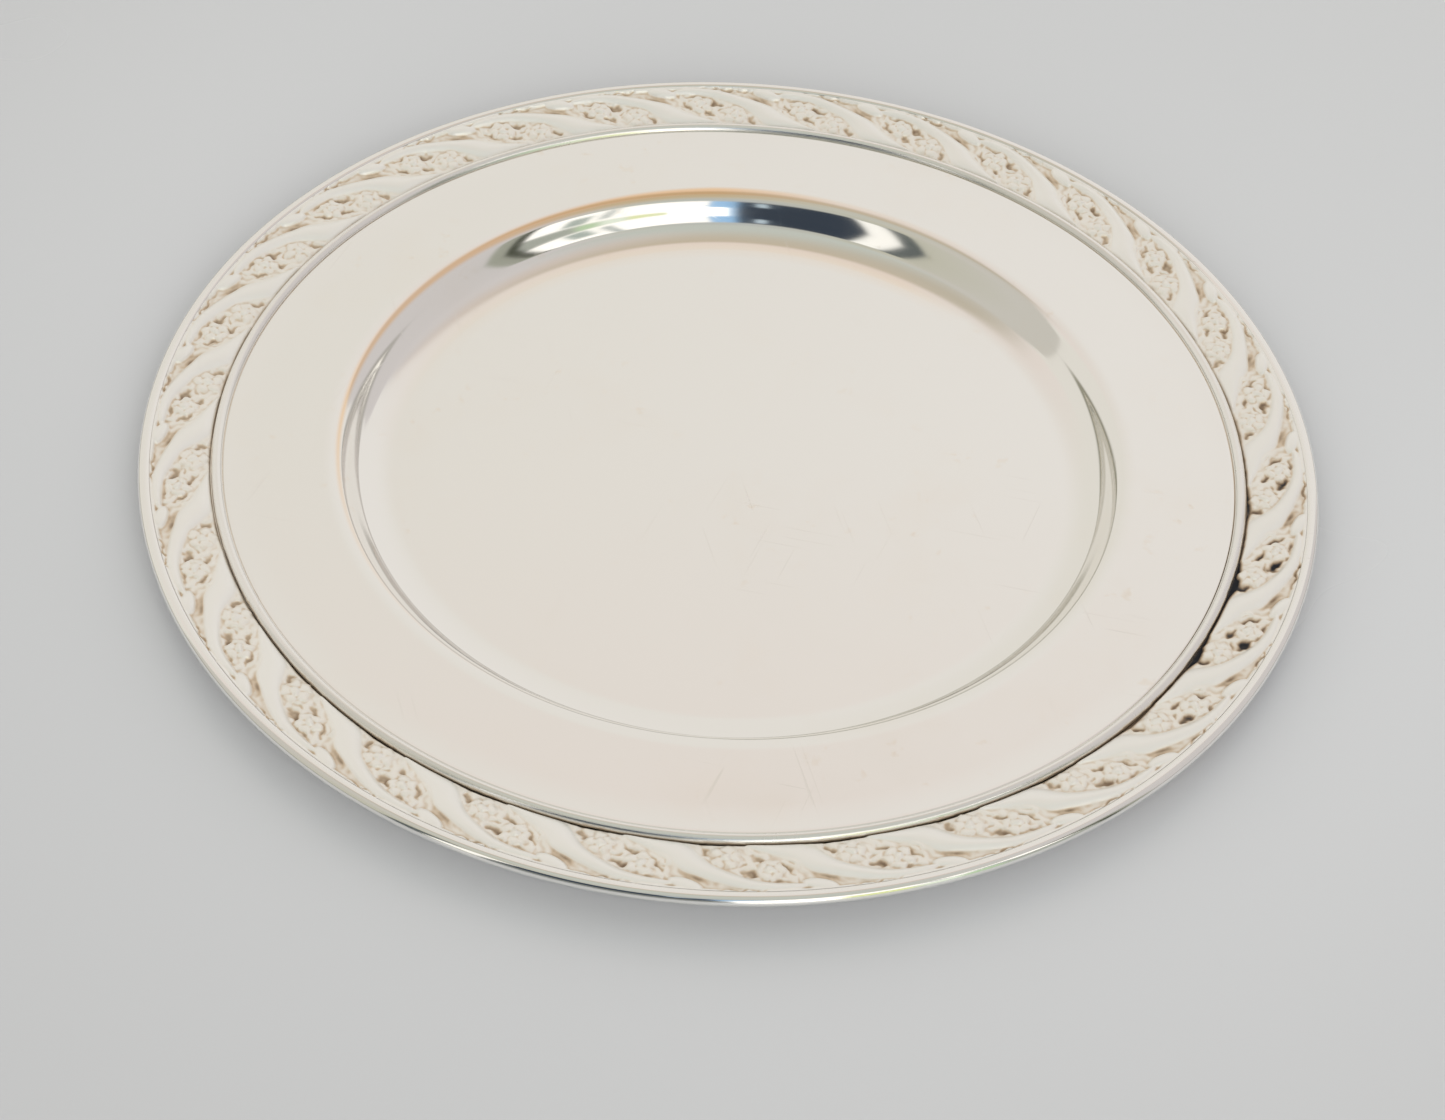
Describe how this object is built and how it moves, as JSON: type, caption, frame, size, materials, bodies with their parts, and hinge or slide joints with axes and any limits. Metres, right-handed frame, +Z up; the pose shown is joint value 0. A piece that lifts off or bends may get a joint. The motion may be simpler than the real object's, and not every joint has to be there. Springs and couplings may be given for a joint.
{
  "type": "offering plate",
  "caption": "Round polished silver-plated plate with a shallow flat-floored well, a broad plain rim and a cast border of swirling ribbons and blossoms inside a rolled edge.",
  "frame": {"origin": "centre of the flat underside of the base, on the plate's round axis", "axes": "+Z up along the plate's round axis, out of the well; +X and +Y lie in the table plane, with the border's repeats every 12 degrees about Z"},
  "size_m": [0.254, 0.254, 0.01],
  "materials": {
    "silver_body": "polished silver plate with fine wear scratches and faint smudges",
    "silver_wire": "bright polished silver plate",
    "silver_cast": "cast silver plate, bright on its high parts, with brown to slate-grey tarnish left in its recesses"
  },
  "bodies": {
    "root": {"plate_body": "silver_body", "inner_bead": "silver_wire", "edge_wire": "silver_wire", "border_section_1": "silver_cast", "border_section_2": "silver_cast", "border_section_3": "silver_cast", "border_section_4": "silver_cast", "border_section_5": "silver_cast", "border_section_6": "silver_cast"}
  },
  "joints": []
}
